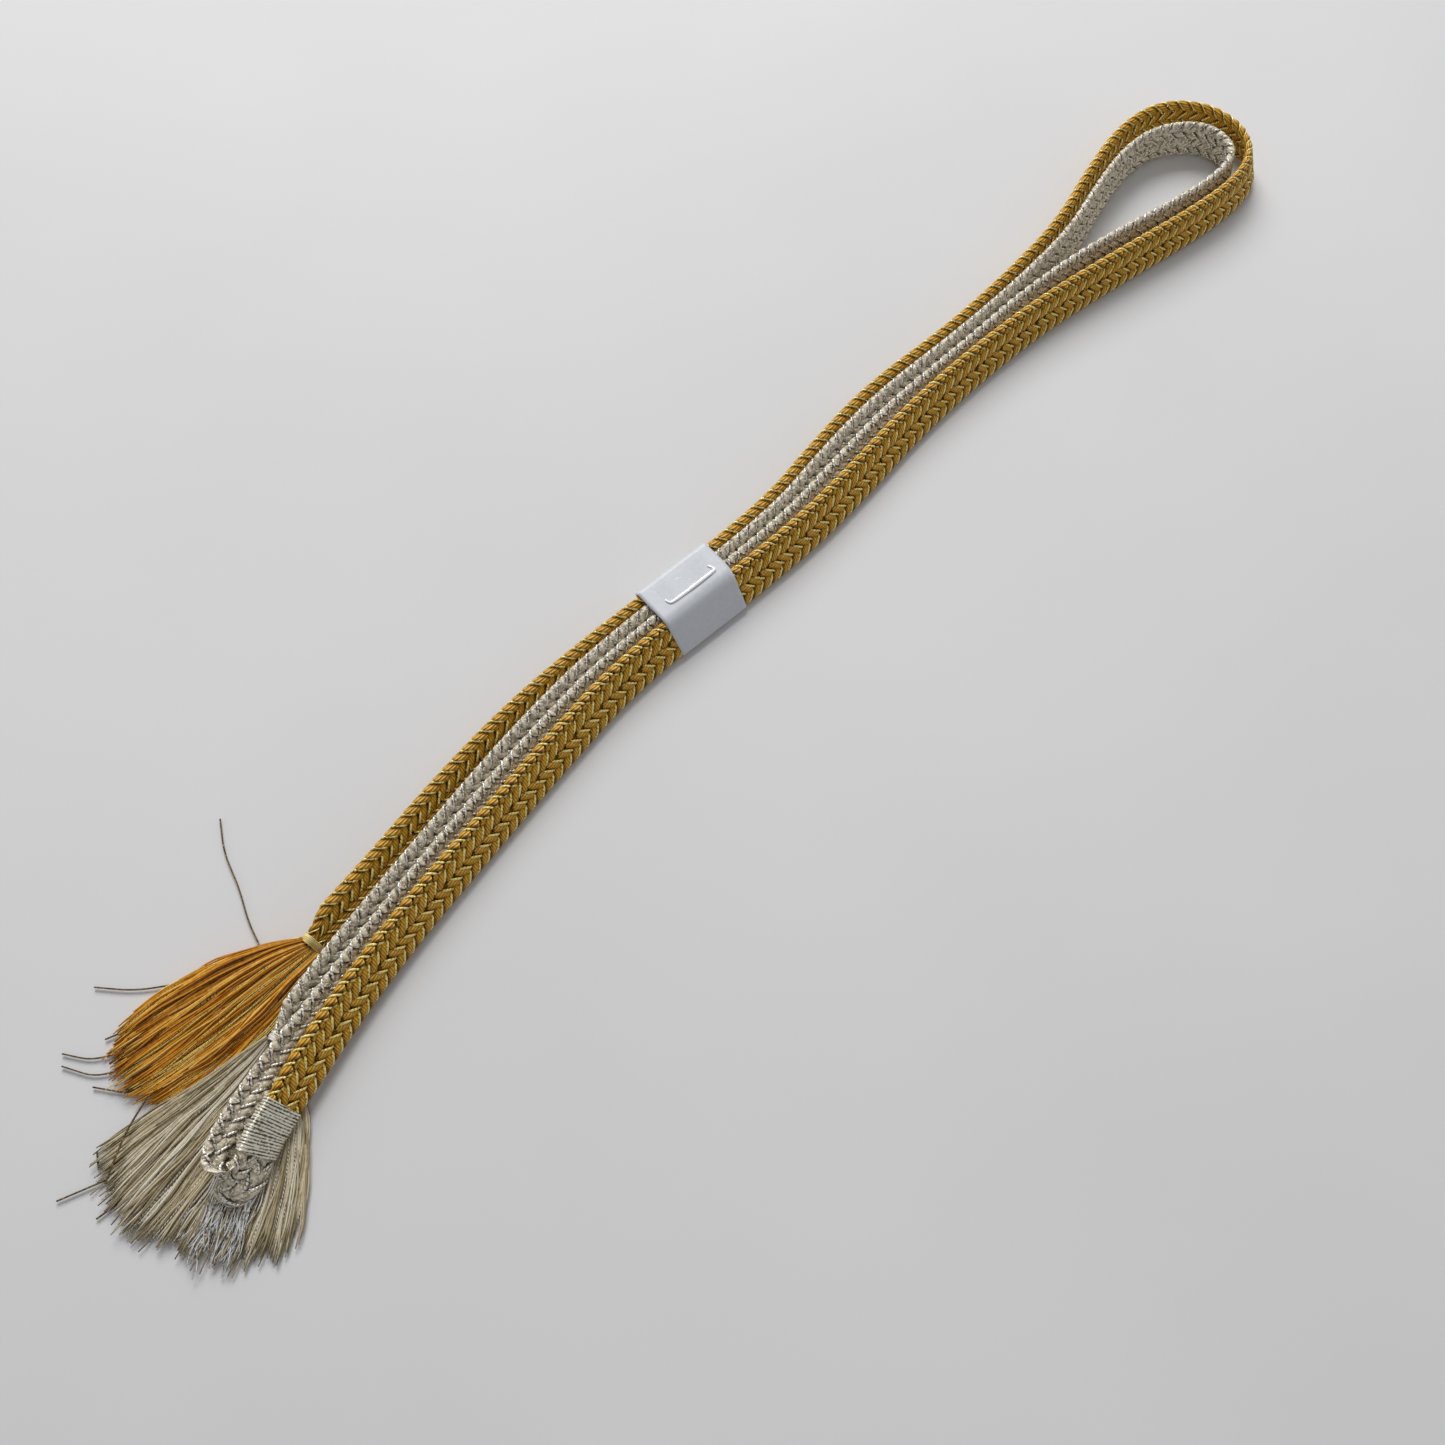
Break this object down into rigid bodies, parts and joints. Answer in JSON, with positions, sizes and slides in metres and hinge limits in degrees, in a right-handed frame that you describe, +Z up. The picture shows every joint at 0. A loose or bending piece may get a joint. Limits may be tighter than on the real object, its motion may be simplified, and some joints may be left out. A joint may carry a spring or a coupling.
{
  "type": "braided sash cord",
  "caption": "Flat braided kimono sash cord, half gold and half silver, with a tassel at each end, folded in four and held by a sliding paper band.",
  "frame": {"origin": "centre of the footprint, on the surface that the hank lies on", "axes": "+X along the hank from the tassels to the open loop, +Z up, +Y to the side that the layers lean to"},
  "size_m": [0.451, 0.0924, 0.0102],
  "materials": {
    "gold_braid": "satin silk braid with pale gold metallic threads",
    "silver_braid": "grey-beige silk braid with silver lame threads",
    "silver_lame_thread": "bright silver metallic thread, wound close",
    "pale_gold_thread": "pale gold sewing silk",
    "white_thread": "white sewing silk",
    "gold_silk": "loose glossy silk yarn",
    "pale_silk": "loose glossy silk yarn",
    "dark_metal_thread": "fine metallic thread",
    "coated_paper": "white coated paper, soft gloss",
    "clear_tape": "clear adhesive tape, glossy"
  },
  "bodies": {
    "cord": {"gold_braid": "gold_braid", "silver_braid": "silver_braid", "centre_whipping": "silver_lame_thread", "gold_end_tie": "pale_gold_thread", "silver_end_tie": "white_thread", "gold_tassel": "gold_silk", "silver_tassel": "pale_silk", "gold_stray_threads": "dark_metal_thread", "silver_stray_threads": "dark_metal_thread"},
    "band": {"paper_band": "coated_paper", "clear_tape": "clear_tape"}
  },
  "joints": [
    {"name": "band_slide", "type": "slide", "parent": "cord", "child": "band", "axis": [0.993, -0.1185, 0], "range_m": [-0.006, 0.006]}
  ]
}
